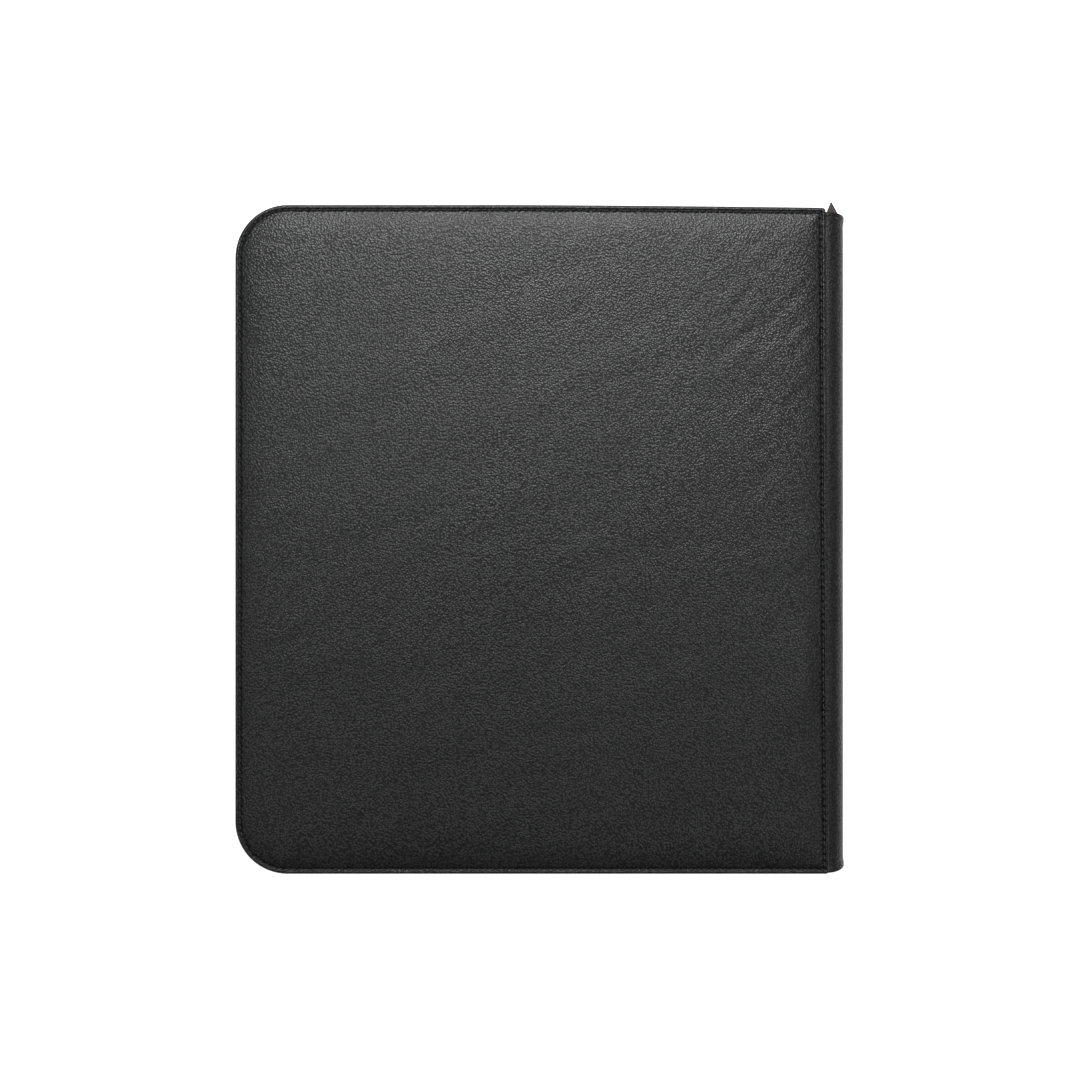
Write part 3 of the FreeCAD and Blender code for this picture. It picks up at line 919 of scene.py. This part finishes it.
LEAF_NODES = sorted(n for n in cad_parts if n.startswith("leaf_"))
COLUMNS, ROWS = 4, 3
ZONE_X = 136.5  # the pockets' side towards the spine
FORE_MARGIN = 3.0
LEAF_END_MARGIN = 16.5
WELD_X, WELD_Y = 1.2, 1.0  # between neighbouring pockets
SHEET_THICK = 0.34
FILM_THICK = 0.09
WELD_LIFT, POCKET_LIFT = 0.19, 0.27  # film above the leaf's middle, and its rise in a pocket


def leaf_sheet(node, z):
    """The black sheet of a leaf, with softened edges."""
    low, high = millimetres(node)
    bm = bmesh.new()
    bmesh.ops.create_cube(bm, size=1.0)
    size = Matrix.Diagonal((high.x - low.x, high.y - low.y, SHEET_THICK, 1))
    centre = Matrix.Translation(((high.x + low.x) / 2, 0, z))
    bmesh.ops.transform(bm, matrix=centre @ size, verts=bm.verts)
    upright = [e for e in bm.edges if abs(e.verts[0].co.z - e.verts[1].co.z) > 0.1]
    fore = [e for e in upright if e.verts[0].co.x < 0]
    round_off(bm, fore, 4.0, 6)
    rims = [e for e in bm.edges if abs(e.verts[0].co.z - e.verts[1].co.z) < 0.01]
    round_off(bm, rims, 0.1, 2)
    made = mesh_object(node + "_sheet", outward(bm), node, BLACK_SHEET, smooth=False)
    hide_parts(node)


def leaf_pockets(node, z):
    """Clear pockets on both faces of a leaf: welded on three sides, open towards the spine."""
    low, high = millimetres(node)
    pitch_x = (ZONE_X - low.x - FORE_MARGIN) / COLUMNS
    pitch_y = (high.y - low.y - 2 * LEAF_END_MARGIN) / ROWS
    wide, tall = 6, 8  # faces of one pocket
    bm = bmesh.new()
    for face in (-1, 1):
        for column in range(COLUMNS):
            for row in range(ROWS):
                x0 = ZONE_X - (column + 1) * pitch_x + 0.2
                y0 = (row - ROWS / 2) * pitch_y + WELD_Y / 2

                def place(i, j):
                    u, v = i / wide, j / tall
                    rise = min(1.0, min(v, 1 - v) * tall, u * wide)
                    lift = WELD_LIFT + POCKET_LIFT * rise
                    x = x0 + u * (pitch_x - WELD_X)
                    y = y0 + v * (pitch_y - WELD_Y)
                    if rise > 0:
                        lift += 0.05 * noise.noise(Vector((x / 22, y / 22, face)))
                    return Vector((x, y, z + face * lift))

                joined(bm, mapped_grid(wide, tall, place))
    bmesh.ops.solidify(bm, geom=bm.faces[:], thickness=FILM_THICK)
    made = mesh_object(node + "_pockets", outward(bm), node, CLEAR_FILM)


for node in LEAF_NODES:
    low, high = millimetres(node)
    level = (low.z + high.z) / 2
    leaf_sheet(node, level)
    leaf_pockets(node, level)


# ==== linings ====


def cover_lining(side):
    """Lining cloth glued over the board, with a soft turned edge."""
    steps = [0, 0.4, 1.0, 2.0, 4.0]
    xs = near_lines(LINING_LOW.x, LINING_HIGH.x, 6.0, steps)
    ys = near_lines(LINING_LOW.y, LINING_HIGH.y, 6.0, steps)

    def place(i, j):
        x, y = xs[i], ys[j]
        from_edge = min(x - xs[0], xs[-1] - x, ys[-1] - abs(y))
        z = LINING_LOW.z + 0.42 * math.exp(-from_edge / 0.6)
        z += 0.05 * noise.noise(Vector((x / 30, y / 30, 2)))
        px, py = rounded(x, y)
        return Vector((px, py, z))

    bm = mapped_grid(len(xs) - 1, len(ys) - 1, place)
    thickened(bm, 0.35, facing=Vector((0, 0, -1)))
    for_side(bm, side)
    made = mesh_object(side + "_cover_lining_cloth", bm, side + "_cover", LINING_CLOTH)
    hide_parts(side + "_cover_lining")


cover_lining("front")
cover_lining("back")


# ==== finishes of the pieces kept from the frame ====

KEPT = {
    "front_cover_foam": FOAM,
    "back_cover_foam": FOAM,
    "front_cover_board": BOARD,
    "back_cover_board": BOARD,
    "spine_board": BOARD,
    "spine_lining": LINING_CLOTH,
    "page_binding_core": BINDING_CLOTH,
    "front_zip_stops": ENAMEL,
    "back_zip_stops": ENAMEL,
    "zip_slider_body": ENAMEL,
    "zip_slider_bail": ENAMEL,
    "zip_pull": ENAMEL,
}
for name, material in KEPT.items():
    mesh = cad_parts[name].data
    if not mesh.materials:
        mesh.materials.append(material)
    for k in range(len(mesh.materials)):
        mesh.materials[k] = material


# ==== floor, light and camera ====

FLOOR_HALF = 4000
floor_mesh = bmesh.new()
bmesh.ops.create_grid(floor_mesh, x_segments=1, y_segments=1, size=FLOOR_HALF)
floor = mesh_object("floor", floor_mesh, None, FLOOR_ACRYLIC, smooth=False)


def softbox(name, at, size, power, aim):
    """A rectangular studio light, in metres and watts, pointed at a place on the table."""
    data = bpy.data.lights.new(name, "AREA")
    data.shape = "RECTANGLE"
    data.size, data.size_y = size
    data.energy = power
    lamp = bpy.data.objects.new(name, data)
    lamp.location = at
    lamp.rotation_euler = (Vector(aim) - Vector(at)).to_track_quat("-Z", "Y").to_euler()
    bpy.context.scene.collection.objects.link(lamp)


softbox("top_softbox", (0.0, 0.66, 1.08), (0.35, 0.28), 12.5, aim=(0, 0.05, 0))
softbox("spine_softbox", (0.62, -0.2, 1.3), (0.2, 0.25), 1.4, aim=(0.1, -0.05, 0))
softbox("fore_softbox", (-0.62, -0.02, 1.3), (0.2, 0.3), 1.4, aim=(-0.1, -0.03, 0))

WORLD_LIGHT = 0.16
world = bpy.data.worlds.new("studio")
world.use_nodes = True
sky = world.node_tree.nodes["Background"]
sky.inputs["Color"].default_value = (1, 1, 1, 1)
sky.inputs["Strength"].default_value = WORLD_LIGHT
bpy.context.scene.world = world
bpy.context.scene.view_settings.view_transform = "Standard"

CAMERA_HEIGHT = 1.5  # above the back cover
FIELD = 0.5918  # width of the view at the back cover's height
camera_data = bpy.data.cameras.new("camera")
camera_data.sensor_width = 36
camera_data.lens = camera_data.sensor_width * CAMERA_HEIGHT / FIELD
camera = bpy.data.objects.new("camera", camera_data)
camera.location = (0, 0, THICK * MM + CAMERA_HEIGHT)
bpy.context.scene.collection.objects.link(camera)
bpy.context.scene.camera = camera
